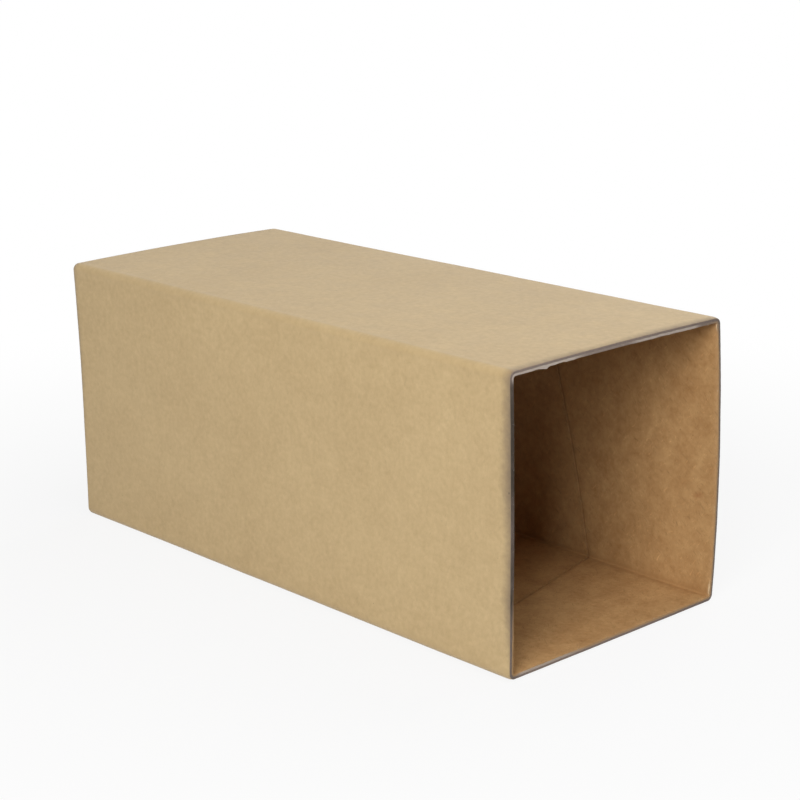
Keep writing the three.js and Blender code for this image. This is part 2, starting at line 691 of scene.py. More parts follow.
    def fold_up(self, slab: bmesh.types.BMesh) -> None:
        """Folds the slab round the section and shapes its surface, its joint and its two cut ends.

        Args:
            slab: the flat slab's mesh, whose points it moves and gives their strengths.
        """
        flat = np.array([v.co for v in slab.verts]).T
        around, x, depth = flat
        section = self.section
        turns = self.joint.turns(section, self.high_x, x, around)
        to_joint = np.abs(turns - np.round(turns)) * self.joint.slant(section)
        lifted = sum(m.nearness(section, self.high_x, around, x) * m.rise for m in LIFTED_PLY)
        on_inner = depth > section.wall - self.weld
        inward = np.where(on_inner, lifted - self.joint.sunk(to_joint), 0.0)

        moved_x = x.copy()
        strengths = {name: np.zeros_like(x) for name in ("smeared", "torn", "lined", "rim_nearness")}
        strengths["ply_depth"] = depth / section.wall
        # Nearness to the folds: it drives their wear, and the painted shade in the inner folds.
        strengths["fold_nearness"] = fade(section.fold_distance(around), self.fold_wear_and_shade_reach)
        strengths["joint_nearness"] = fade(to_joint, self.joint_reach)
        strengths["lifted_ply"] = self.marked(LIFTED_PLY, around, x)
        strengths["blot"] = self.marked(BLOTS, around, x)
        for end in (self.mouth, self.rear):
            self.shape_end(end, flat, moved_x, inward, strengths)

        places = np.column_stack([x, section.place(around, np.zeros_like(depth))[0]])
        swell = self.sway * (noise_at(places, self.sway_size, self.sway_seed) - 1)
        swell += self.ripple * (noise_at(places, self.ripple_size, self.ripple_seed) - 1)
        solid, outward = section.place(around, depth + inward)
        solid += outward * swell[:, None]

        layers = {name: slab.verts.layers.float.new(name) for name in strengths}
        slab.verts.ensure_lookup_table()
        for k, vert in enumerate(slab.verts):
            vert.co = (moved_x[k], solid[k, 0], solid[k, 1])
            for name, layer in layers.items():
                vert[layer] = strengths[name][k]

    def build(self) -> bpy.types.Object:
        """Builds the closed wall.

        Returns:
            The wall's object, with its faces sorted for three materials.
        """
        slab = self.slab()
        self.score_joint(slab)
        self.map_winding(slab)
        self.fold_up(slab)
        bmesh.ops.remove_doubles(slab, verts=[v for v in slab.verts if v.is_boundary], dist=self.weld)
        for edge in slab.edges:
            edge.smooth = not edge.is_manifold or edge.calc_face_angle(0.0) < self.sharp_angle
        mesh = bpy.data.meshes.new("tube_wall")
        slab.to_mesh(mesh)
        slab.free()
        mesh.polygons.foreach_set("use_smooth", [True] * len(mesh.polygons))
        wall = bpy.data.objects.new("tube_wall", mesh)
        bpy.context.scene.collection.objects.link(wall)
        log.info("tube_wall: %d faces", len(mesh.polygons))
        return wall


@dataclass
class FrayedRim:
    """Loose paper fibres that stand out of the torn inner rim of one cut end.

    Most of them stand where the rim is torn. A pair of numbers is the least and the most of a random draw:
    a fibre's root depth as a share of the wall, how far it aims inwards, along the rim and out of the mouth,
    how far it curls along the rim and inwards, its radius and its length.
    """

    name: str
    section: TubeSection
    end: CutEnd
    edge_x: float
    seed: int
    count: int = 760
    sides: int = 3
    steps: int = 4
    least: float = 0.2
    root: float = 0.45 * MM
    root_depth: tuple[float, float] = (0.62, 1.0)
    aim_in: tuple[float, float] = (0.1, 1.0)
    aim_along: tuple[float, float] = (-1.2, 1.2)
    aim_out: tuple[float, float] = (0.0, 0.5)
    curl_along: tuple[float, float] = (-0.9, 0.9)
    curl_in: tuple[float, float] = (-0.4, 0.8)
    curl_share: float = 0.5
    taper: float = 0.7
    radius: tuple[float, float] = (0.020 * MM, 0.060 * MM)
    length: tuple[float, float] = (0.25 * MM, 1.15 * MM)

    def roots(self, draw: random.Random) -> np.ndarray:
        """Draws the places of the fibres, more of them where the rim is torn.

        Args:
            draw: the source of random numbers.

        Returns:
            The distances round at which the fibres start.
        """
        kept: list[float] = []
        while len(kept) < self.count:
            around = draw.uniform(0, self.section.perimeter)
            torn = float(self.end.torn.at(self.section.panel_place(np.array([around])))[0])
            if draw.random() < max(self.least, torn):
                kept.append(around)
        return np.array(kept)

    def build(self) -> bpy.types.Object:
        """Builds the fibres.

        Returns:
            One object that holds every fibre of this rim.
        """
        draw = random.Random(self.seed)
        around = self.roots(draw)
        depth = np.array([self.section.wall * draw.uniform(*self.root_depth) for _ in range(self.count)])
        base, outward = self.section.place(around, depth)
        points: list[Vector] = []
        faces: list[tuple[int, ...]] = []
        for (y, z), (out_y, out_z) in zip(base.tolist(), outward.tolist()):
            inward = Vector((0, -out_y, -out_z))
            along = Vector((0, -out_z, out_y))
            start = Vector((self.edge_x - self.end.side * self.root, y, z))
            reach = draw.uniform(*self.length)
            aim = inward * draw.uniform(*self.aim_in) + along * draw.uniform(*self.aim_along)
            aim += Vector((self.end.side * draw.uniform(*self.aim_out), 0, 0))
            curl = along * draw.uniform(*self.curl_along) + inward * draw.uniform(*self.curl_in)
            self.add_fibre(points, faces, start, aim.normalized(), curl, reach, draw.uniform(*self.radius))
        mesh = bpy.data.meshes.new(self.name)
        mesh.from_pydata(points, [], faces)
        mesh.polygons.foreach_set("use_smooth", [True] * len(mesh.polygons))
        rim = bpy.data.objects.new(self.name, mesh)
        bpy.context.scene.collection.objects.link(rim)
        log.info("%s: %d fibres", self.name, self.count)
        return rim

    def add_fibre(
        self,
        points: list[Vector],
        faces: list[tuple[int, ...]],
        start: Vector,
        aim: Vector,
        curl: Vector,
        reach: float,
        radius: float,
    ) -> None:
        """Adds one tapering, curved fibre as a closed tube.

        Args:
            points: the mesh's points so far, which it adds to.
            faces: the mesh's faces so far, which it adds to.
            start: the fibre's root.
            aim: the direction in which it leaves the rim.
            curl: the direction in which it bends away.
            reach: its length.
            radius: its radius at the root.
        """
        first = len(points)
        bend = curl * reach * self.curl_share
        side = aim.orthogonal().normalized()
        across = aim.cross(side)
        for k in range(self.steps):
            share = k / self.steps
            centre = start + aim * reach * share + bend * share**2
            for s in range(self.sides):
                angle = 2 * math.pi * s / self.sides
                ring = (side * math.cos(angle) + across * math.sin(angle)) * radius * (1 - self.taper * share)
                points.append(self.kept_inside(centre + ring))
        points.append(self.kept_inside(start + aim * reach + bend))
        faces.append(tuple(first + s for s in reversed(range(self.sides))))
        for k in range(self.steps - 1):
            for s in range(self.sides):
                a = first + k * self.sides + s
                b = first + k * self.sides + (s + 1) % self.sides
                faces.append((a, b, b + self.sides, a + self.sides))
        last = first + (self.steps - 1) * self.sides
        for s in range(self.sides):
            faces.append((last + s, last + (s + 1) % self.sides, len(points) - 1))

    def kept_inside(self, point: Vector) -> Vector:
        """Returns the point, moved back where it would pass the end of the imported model."""
        x = min(point.x, self.edge_x) if self.end.side > 0 else max(point.x, self.edge_x)
        return Vector((x, point.y, point.z))


class Nodes:
    """A node tree that is written in short lines."""

    def __init__(self, tree: bpy.types.NodeTree) -> None:
        """Wraps a tree."""
        self.tree = tree

    def add(self, kind: str, **settings: object) -> bpy.types.Node:
        """Adds a node.

        Args:
            kind: the node's type, without its ShaderNode prefix.
            **settings: the node's own properties.

        Returns:
            The new node.
        """
        node = self.tree.nodes.new("ShaderNode" + kind)
        for name, value in settings.items():
            setattr(node, name, value)
        return node

    def feed(self, socket: bpy.types.NodeSocket, value: object) -> None:
        """Links an output to a socket, or sets the socket to a plain value.

        Args:
            socket: the socket that is fed.
            value: another node's output, or a plain value.
        """
        if isinstance(value, bpy.types.NodeSocket):
            self.tree.links.new(value, socket)
        else:
            socket.default_value = value

    def math(self, operation: str, a: object, b: object = 0.0, clamp: bool = False) -> bpy.types.NodeSocket:
        """Adds a Math node.

        Args:
            operation: what the node does with the values.
            a: the first value.
            b: the second value.
            clamp: whether the result is kept from 0 to 1.

        Returns:
            The result.
        """
        node = self.add("Math", operation=operation, use_clamp=clamp)
        self.feed(node.inputs[0], a)
        self.feed(node.inputs[1], b)
        return node.outputs[0]

    def times(self, a: object, b: object) -> bpy.types.NodeSocket:
        """Returns the product of two values."""
        return self.math("MULTIPLY", a, b)

    def swing(self, value: object, strength: object) -> bpy.types.NodeSocket:
        """Returns a value that runs from 0 to 1 as a swing round zero, times a strength."""
        return self.times(self.math("SUBTRACT", value, 0.5), strength)

    def smooth(
        self, value: object, start: float, stop: float, low: float = 0.0, high: float = 1.0
    ) -> bpy.types.NodeSocket:
        """Returns low where a value is under start, high where it is over stop, and a smooth step between.

        Args:
            value: the value that is stepped.
            start: where the step starts.
            stop: where the step ends.
            low: the result before the step.
            high: the result after it.

        Returns:
            The result.
        """
        node = self.add("MapRange", interpolation_type="SMOOTHSTEP")
        for name, number in (("From Min", start), ("From Max", stop), ("To Min", low), ("To Max", high)):
            node.inputs[name].default_value = number
        self.feed(node.inputs["Value"], value)
        return node.outputs["Result"]

    def mix(self, share: object, a: object, b: object, blend: str = "MIX") -> bpy.types.NodeSocket:
        """Mixes two colours.

        Args:
            share: the second colour's share.
            a: the first colour.
            b: the second colour.
            blend: how the second colour goes over the first one.

        Returns:
            The colour.
        """
        node = self.add("Mix", data_type="RGBA", blend_type=blend)
        self.feed(node.inputs[0], share)
        self.feed(node.inputs[6], a)
        self.feed(node.inputs[7], b)
        return node.outputs[2]

    def noise(self, vector: object, scale: object, detail: float, rough: float) -> bpy.types.NodeSocket:
        """Adds a noise texture.

        Args:
            vector: the place.
            scale: the swells in a metre.
            detail: the number of finer layers of noise.
            rough: how strongly the finer layers show.

        Returns:
            The noise, from 0 to 1.
        """
        node = self.add("TexNoise")
        self.feed(node.inputs["Vector"], vector)
        self.feed(node.inputs["Scale"], scale)
        node.inputs["Detail"].default_value = detail
        node.inputs["Roughness"].default_value = rough
        return node.outputs["Fac"]

    def place(self) -> bpy.types.NodeSocket:
        """Returns the place on the object, in metres."""
        return self.add("TexCoord").outputs["Object"]

    def winding(self) -> bpy.types.NodeSocket:
        """Returns the place on the wound strip, in metres."""
        return self.add("UVMap", uv_map="winding").outputs["UV"]

    def strength(self, name: str) -> bpy.types.NodeSocket:
        """Returns one of the strengths that the mesh holds at its points."""
        return self.add("Attribute", attribute_name=name).outputs["Fac"]

    def bump(self, shader: bpy.types.Node, height: object, strength: float, distance: float) -> None:
        """Gives a shader its fine relief.

        Args:
            shader: the shader.
            height: the relief, as a share of the distance.
            strength: how strongly the relief shows.
            distance: the relief's whole height.
        """
        node = self.add("Bump")
        node.inputs["Strength"].default_value = strength
        node.inputs["Distance"].default_value = distance
        self.feed(node.inputs["Height"], height)
        self.feed(shader.inputs["Normal"], node.outputs["Normal"])

    def shared(self, group: bpy.types.NodeTree, **inputs: object) -> bpy.types.Node:
        """Places a shared effect.

        Args:
            group: the effect's node group.
            **inputs: its inputs, with _ for each space in a name.

        Returns:
            The group's node.
        """
        node = self.add("Group", node_tree=group)
        for name, value in inputs.items():
            self.feed(node.inputs[name.replace("_", " ")], value)
        return node


class PaperEffects:
    """The effects that the paper materials share, each a node group that is built once.

    The strokes bend by up to bend_reach, and the edges of strokes and specks are soft. The smallest speck has
    least_speck of the full radius. The masks of wear and of painted shade need a nearness above the gate, and
    then rise over wear_step.
    """

    bend_scale: float = 240.0
    bend_reach: float = 1.6 * MM
    stroke_edge: float = 0.09
    least_speck: float = 0.4
    speck_edge: float = 0.6
    wear_gate: float = 0.15
    wear_step: tuple[float, float] = (0.1, 0.85)

    def __init__(self) -> None:
        """Builds every group."""
        self.clouds = self.cloudiness()
        self.fibres = self.fibre_strokes()
        self.specks = self.bark_specks()
        self.wear = self.broken_wear_and_shade()

    @staticmethod
    def start(
        name: str, inputs: dict[str, str], outputs: list[str]
    ) -> tuple[Nodes, bpy.types.Node, bpy.types.Node]:
        """Starts a group.

        Args:
            name: the group's name.
            inputs: each input's name with its kind, Float or Vector.
            outputs: the names of its outputs, which are all numbers.

        Returns:
            The group's nodes, its input node and its output node.
        """
        tree = bpy.data.node_groups.new(name, "ShaderNodeTree")
        for label, kind in inputs.items():
            tree.interface.new_socket(label, in_out="INPUT", socket_type="NodeSocket" + kind)
        for label in outputs:
            tree.interface.new_socket(label, in_out="OUTPUT", socket_type="NodeSocketFloat")
        group_in = tree.nodes.new("NodeGroupInput")
        group_out = tree.nodes.new("NodeGroupOutput")
        return Nodes(tree), group_in, group_out

    def cloudiness(self) -> bpy.types.NodeTree:
        """Builds paper's uneven formation.

        Returns:
            A group that gives broad drifts, clouds and a fine mottle, each about 0.5 on average.
        """
        nodes, given, made = self.start(
            "paper_clouds",
            {"Vector": "Vector", "Drift Size": "Float", "Cloud Size": "Float", "Mottle Size": "Float"},
            ["Drift", "Cloud", "Mottle"],
        )
        place = given.outputs["Vector"]
        for label, detail, rough in (("Drift", 2.0, 0.5), ("Cloud", 3.0, 0.55), ("Mottle", 3.0, 0.6)):
            scale = nodes.math("DIVIDE", 1.0, given.outputs[label + " Size"])
            nodes.feed(made.inputs[label], nodes.noise(place, scale, detail, rough))
        return nodes.tree

    def fibre_strokes(self) -> bpy.types.NodeTree:
        """Builds short, bent strokes of fibre that lie at a turn to the winding.

        Returns:
            A group that gives the strokes' mask and relief.
        """
        nodes, given, made = self.start(
            "fibre_strokes",
            {"Vector": "Vector", "Length": "Float", "Width": "Float", "Turn": "Float", "Coverage": "Float"},
            ["Mask", "Relief"],
        )
        bend = nodes.add("TexNoise")
        nodes.feed(bend.inputs["Vector"], given.outputs["Vector"])
        bend.inputs["Scale"].default_value = self.bend_scale
        bend.inputs["Detail"].default_value = 1.0
        centred = nodes.add("VectorMath", operation="SUBTRACT")
        nodes.feed(centred.inputs[0], bend.outputs["Color"])
        centred.inputs[1].default_value = (0.5, 0.5, 0.5)
        shift = nodes.add("VectorMath", operation="SCALE")
        nodes.feed(shift.inputs[0], centred.outputs[0])
        shift.inputs["Scale"].default_value = self.bend_reach
        bent = nodes.add("VectorMath", operation="ADD")
        nodes.feed(bent.inputs[0], given.outputs["Vector"])
        nodes.feed(bent.inputs[1], shift.outputs[0])
        turn = nodes.add("VectorRotate", rotation_type="Z_AXIS")
        nodes.feed(turn.inputs["Vector"], bent.outputs[0])
        nodes.feed(turn.inputs["Angle"], given.outputs["Turn"])
        size = nodes.add("CombineXYZ")
        nodes.feed(size.inputs["X"], given.outputs["Length"])
        nodes.feed(size.inputs["Y"], given.outputs["Width"])
        nodes.feed(size.inputs["Z"], given.outputs["Width"])
        scaled = nodes.add("VectorMath", operation="DIVIDE")
        nodes.feed(scaled.inputs[0], turn.outputs[0])
        nodes.feed(scaled.inputs[1], size.outputs[0])
        strokes = nodes.noise(scaled.outputs[0], scale=1.0, detail=1.0, rough=0.4)
        edge = nodes.math("SUBTRACT", 1.0, given.outputs["Coverage"])
        above = nodes.math("SUBTRACT", strokes, edge)
        nodes.feed(made.inputs["Mask"], nodes.smooth(above, 0.0, self.stroke_edge))
        nodes.feed(made.inputs["Relief"], strokes)
        return nodes.tree

    def bark_specks(self) -> bpy.types.NodeTree:
        """Builds scattered specks of uneven size.

        Returns:
            A group that gives the specks' mask.
        """
        nodes, given, made = self.start(
            "bark_specks",
            {"Vector": "Vector", "Spacing": "Float", "Radius": "Float", "Share": "Float"},
            ["Mask"],
        )
        cells = nodes.add("TexVoronoi")
        nodes.feed(cells.inputs["Vector"], given.outputs["Vector"])
        nodes.feed(cells.inputs["Scale"], nodes.math("DIVIDE", 1.0, given.outputs["Spacing"]))
        radius = nodes.math("DIVIDE", given.outputs["Radius"], given.outputs["Spacing"])
        pick = nodes.add("SeparateColor")
        nodes.feed(pick.inputs[0], cells.outputs["Color"])
        sized = nodes.times(radius, nodes.math("ADD", self.least_speck, pick.outputs[1]))
        inside = nodes.math("SUBTRACT", sized, cells.outputs["Distance"])
        spot = nodes.smooth(nodes.math("DIVIDE", inside, sized), 0.0, self.speck_edge)
        chosen = nodes.math("LESS_THAN", pick.outputs[0], given.outputs["Share"])
        nodes.feed(made.inputs["Mask"], nodes.times(spot, chosen))
        return nodes.tree

    def broken_wear_and_shade(self) -> bpy.types.NodeTree:
        """Builds a mark that follows a nearness, with an uneven edge: wear, and the painted shade in the
        inner folds and along the outer rims.

        Returns:
            A group that gives the wear's mask.
        """
        nodes, given, made = self.start(
            "broken_wear_and_shade",
            {"Vector": "Vector", "Nearness": "Float", "Size": "Float", "Unevenness": "Float"},
            ["Mask"],
        )
        scale = nodes.math("DIVIDE", 1.0, given.outputs["Size"])
        patches = nodes.noise(given.outputs["Vector"], scale, detail=3.0, rough=0.6)
        uneven = nodes.swing(patches, given.outputs["Unevenness"])
        shifted = nodes.math("ADD", given.outputs["Nearness"], uneven)
        gate = nodes.smooth(given.outputs["Nearness"], 0.0, self.wear_gate)
        nodes.feed(made.inputs["Mask"], nodes.times(nodes.smooth(shifted, *self.wear_step), gate))
        return nodes.tree


def new_material(
    name: str, roughness: float, specular: float, sheen: float = 0.0
) -> tuple[bpy.types.Material, Nodes, bpy.types.Node]:
    """Starts a material.

    Args:
        name: the material's name.
        roughness: the shader's plain roughness.
        specular: the shader's specular level.
        sheen: the strength of the shader's sheen.

    Returns:
        The material, its nodes and its shader.
    """
    material = bpy.data.materials.new(name)
    material.use_nodes = True
    shader = material.node_tree.nodes["Principled BSDF"]
    shader.inputs["Roughness"].default_value = roughness
    shader.inputs["Specular IOR Level"].default_value = specular
    shader.inputs["Sheen Weight"].default_value = sheen
    return material, Nodes(material.node_tree), shader


@dataclass(frozen=True)
class FibreLayer:
    """One layer of fibre strokes: their turn from the winding in degrees, size, coverage and shade."""

    turn: float
    length: float
    width: float
    coverage: float
    shade: float = 1.0

    def place(self, nodes: Nodes, effects: PaperEffects) -> bpy.types.Node:
        """Places the layer in a material and returns its node, with a mask and a relief."""
        return nodes.shared(
            effects.fibres,
            Vector=nodes.winding(),
            Length=self.length,
            Width=self.width,
            Turn=math.radians(self.turn),
            Coverage=self.coverage,
        )


FIBRE_LAYERS = (
    FibreLayer(turn=8.0, length=3.2 * MM, width=0.22 * MM, coverage=0.36, shade=0.80),
    FibreLayer(turn=-24.0, length=2.0 * MM, width=0.16 * MM, coverage=0.33, shade=1.16),
    FibreLayer(turn=62.0, length=1.6 * MM, width=0.20 * MM, coverage=0.30, shade=0.86),
)
HAIR_LAYERS = (
    FibreLayer(turn=38.0, length=4.6 * MM, width=0.40 * MM, coverage=0.34, shade=0.78),
    FibreLayer(turn=-52.0, length=4.0 * MM, width=0.34 * MM, coverage=0.34, shade=1.26),
)


@dataclass(frozen=True)
class Clouds:
    """The sizes of paper's uneven formation: its broad drifts, its clouds and its fine mottle."""

    drift: float
    cloud: float
    mottle: float

    def place(self, nodes: Nodes, effects: PaperEffects) -> bpy.types.Node:
        """Places the formation in a material and returns its node."""
        return nodes.shared(
            effects.clouds,
            Vector=nodes.place(),
            Drift_Size=self.drift,
            Cloud_Size=self.cloud,
            Mottle_Size=self.mottle,
        )


@dataclass(frozen=True)
class Specks:
    """Scattered specks: their spacing and radius, the share that shows, their colour and its shade."""

    spacing: float
    radius: float
    share: float
    colour: Colour
    shade: float

    def mask(self, nodes: Nodes, effects: PaperEffects) -> bpy.types.NodeSocket:
        """Returns the specks' mask, at their full shade."""
        node = nodes.shared(
            effects.specks, Vector=nodes.place(), Spacing=self.spacing, Radius=self.radius, Share=self.share
        )
        return nodes.times(node.outputs["Mask"], self.shade)


@dataclass(frozen=True)
class WearAndShade:
    """Uneven wear that follows one of the mesh's strengths: its patches' size and how ragged they are.
    It also carries painted shade, in the inner folds and along the outer rims.
    """

    strength: str
    size: float
    unevenness: float

    def mask(self, nodes: Nodes, effects: PaperEffects) -> bpy.types.NodeSocket:
        """Returns the wear's mask."""
        near = nodes.strength(self.strength)
        sizes = {"Size": self.size, "Unevenness": self.unevenness}
        return nodes.shared(effects.wear, Vector=nodes.place(), Nearness=near, **sizes).outputs["Mask"]


@dataclass(frozen=True)
class KraftFinish:
    """Brown kraft paper: cloudy, flecked with fibres, and worn at its folds, rims and joint. Its darker inner
    folds and the darker paper along its outer rims are partly painted shade.

    The fields drift, cloud, mottle and fleck are the strengths of the formation and of the fibres. A field
    that ends in shade is how strongly a mark covers the paper, and one that ends in step is where it starts
    to show and where it shows in full. The inner ply alone has ply marks: its lifted corners and its open
    joint.
    """

    name: str
    pale: Colour
    dark: Colour
    rim_tone: Colour
    drift: float
    cloud: float
    mottle: float
    fleck: float
    rim_shade: float
    ply_marks: float = 0.0
    # How far the folds darken: wear, and in the inner folds painted shade.
    fold_wear_and_shade: float = 0.22
    layers: tuple[FibreLayer, ...] = FIBRE_LAYERS
    formation: Clouds = Clouds(drift=46 * MM, cloud=7 * MM, mottle=1.9 * MM)
    bark: Specks = Specks(6.5 * MM, 0.38 * MM, share=0.34, colour=tone(104, 74, 44), shade=0.42)
    nicks: Specks = Specks(1.7 * MM, 0.34 * MM, share=0.55, colour=tone(74, 63, 50), shade=0.65)
    nick_step: tuple[float, float] = (0.55, 0.72)
    # The folds' mask, for their wear and for the painted shade in the inner folds.
    crease_wear_and_shade: WearAndShade = WearAndShade("fold_nearness", size=5 * MM, unevenness=0.9)
    # The rims' mask: dirt and painted shade of the rolled rim outside, a paler tone inside.
    rim_wear_and_shade: WearAndShade = WearAndShade("rim_nearness", size=2.4 * MM, unevenness=0.32)
    blot: WearAndShade = WearAndShade("blot", size=1.8 * MM, unevenness=0.7)
    blot_tone: Colour = tone(150, 98, 58)
    blot_shade: float = 0.75
    lifted: WearAndShade = WearAndShade("lifted_ply", size=1.2 * MM, unevenness=0.6)
    lifted_tone: Colour = tone(222, 198, 160)
    lifted_shade: float = 0.80
    joint_step: tuple[float, float] = (0.15, 0.95)
    joint_tone: Colour = tone(90, 57, 32)
    joint_shade: float = 0.42
    roughness: float = 0.64
    roughness_swing: float = 0.2
    crease_polish: float = 0.08
    specular: float = 0.55
    sheen: float = 0.0
    relief: float = 0.035 * MM
    relief_strength: float = 0.8
    mottle_relief: float = 0.6
    stroke_relief: float = 0.35

    def material(self, effects: PaperEffects) -> bpy.types.Material:
        """Builds the finish.

        Args:
            effects: the shared node groups.

        Returns:
            The material.
        """
        material, nodes, shader = new_material(self.name, self.roughness, self.specular, self.sheen)
        clouds = self.formation.place(nodes, effects)
        colour = self.paper(nodes, clouds)
        relief = nodes.times(clouds.outputs["Mottle"], self.mottle_relief)
        for layer in self.layers:
            strokes = layer.place(nodes, effects)
            shaded = nodes.mix(1.0, colour, (layer.shade, layer.shade, layer.shade, 1.0), "MULTIPLY")
            colour = nodes.mix(nodes.times(strokes.outputs["Mask"], self.fleck), colour, shaded)
            relief = nodes.math("ADD", relief, nodes.times(strokes.outputs["Relief"], self.stroke_relief))

        crease_wear_and_shade = self.crease_wear_and_shade.mask(nodes, effects)
        colour = self.worn(nodes, effects, colour, crease_wear_and_shade)
        nodes.feed(shader.inputs["Base Color"], self.ply_marked(nodes, effects, colour))

        rough = nodes.math("ADD", nodes.swing(clouds.outputs["Cloud"], self.roughness_swing), self.roughness)
        rough = nodes.math("SUBTRACT", rough, nodes.times(crease_wear_and_shade, self.crease_polish), clamp=True)
        nodes.feed(shader.inputs["Roughness"], rough)
        nodes.bump(shader, relief, self.relief_strength, self.relief)
        return material

    def paper(self, nodes: Nodes, clouds: bpy.types.Node) -> bpy.types.NodeSocket:
        """Colours the clean paper.

        Args:
            nodes: the material's nodes.
            clouds: the node of the paper's formation.

        Returns:
            The cloudy colour.
        """
        tint = nodes.swing(clouds.outputs["Drift"], self.drift)
        for label, strength in (("Cloud", self.cloud), ("Mottle", self.mottle)):
            tint = nodes.math("ADD", tint, nodes.swing(clouds.outputs[label], strength))
        return nodes.mix(nodes.math("ADD", tint, 0.5, clamp=True), self.dark, self.pale)

    def worn(
        self, nodes: Nodes, effects: PaperEffects, colour: object, crease_wear_and_shade: bpy.types.NodeSocket
    ) -> bpy.types.NodeSocket:
        """Adds the bark, the creased folds with painted shade in the inner ones, the dirt along the rims with
        painted shade of the rolled outer rim, and the nicks in it.

        Args:
            nodes: the material's nodes.
            effects: the shared node groups.
            colour: the paper's colour so far.
            crease_wear_and_shade: the mask of the folds' wear and of the painted shade in the inner folds.

        Returns:
            The colour.
        """
        colour = nodes.mix(self.bark.mask(nodes, effects), colour, self.bark.colour)
        # Darker folds: wear, and painted shade in the inner folds.
        colour = nodes.mix(nodes.times(crease_wear_and_shade, self.fold_wear_and_shade), colour, self.dark)
        # Along the rims: dirt and painted shade of the rolled rim outside, a paler tone inside.
        rim_wear_and_shade = self.rim_wear_and_shade.mask(nodes, effects)
        colour = nodes.mix(nodes.times(rim_wear_and_shade, self.rim_shade), colour, self.rim_tone)
        beside_cut = nodes.smooth(nodes.strength("rim_nearness"), *self.nick_step)
        nicks = nodes.times(self.nicks.mask(nodes, effects), beside_cut)
        return nodes.mix(nicks, colour, self.nicks.colour)

    def ply_marked(self, nodes: Nodes, effects: PaperEffects, colour: object) -> bpy.types.NodeSocket:
        """Adds the blot, the lifted corners and the open joint.

        Args:
            nodes: the material's nodes.
            effects: the shared node groups.
            colour: the paper's colour so far.

        Returns:
            The colour.
        """
        blot = self.blot.mask(nodes, effects)
        colour = nodes.mix(nodes.times(blot, self.blot_shade), colour, self.blot_tone)
        lifted = self.lifted.mask(nodes, effects)
        colour = nodes.mix(nodes.times(lifted, self.ply_marks * self.lifted_shade), colour, self.lifted_tone)
        joint = nodes.smooth(nodes.strength("joint_nearness"), *self.joint_step)
        return nodes.mix(nodes.times(joint, self.ply_marks * self.joint_shade), colour, self.joint_tone)


